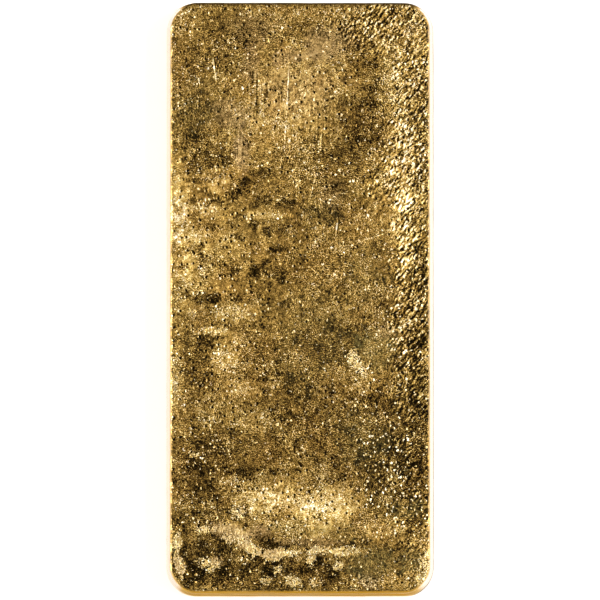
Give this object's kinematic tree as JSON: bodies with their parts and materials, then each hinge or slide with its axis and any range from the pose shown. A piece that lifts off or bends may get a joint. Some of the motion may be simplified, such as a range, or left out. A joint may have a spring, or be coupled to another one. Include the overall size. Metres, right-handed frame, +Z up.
{
  "type": "metal ingot",
  "caption": "Flat cast gold bar with drafted walls, rounded corners, a soft rim round its open-cast face and a rough, pitted mould face on top.",
  "frame": {"origin": "middle of the open-cast face, on the floor that the bar rests on", "axes": "+Y along the bar's length, +X across its width, +Z up through its thickness to the mould face"},
  "size_m": [0.053, 0.118, 0.0085],
  "materials": {
    "cast_gold": "as cast, rough and pitted on the mould face, smooth on the walls"
  },
  "bodies": {
    "root": {"ingot": "cast_gold"}
  },
  "joints": []
}
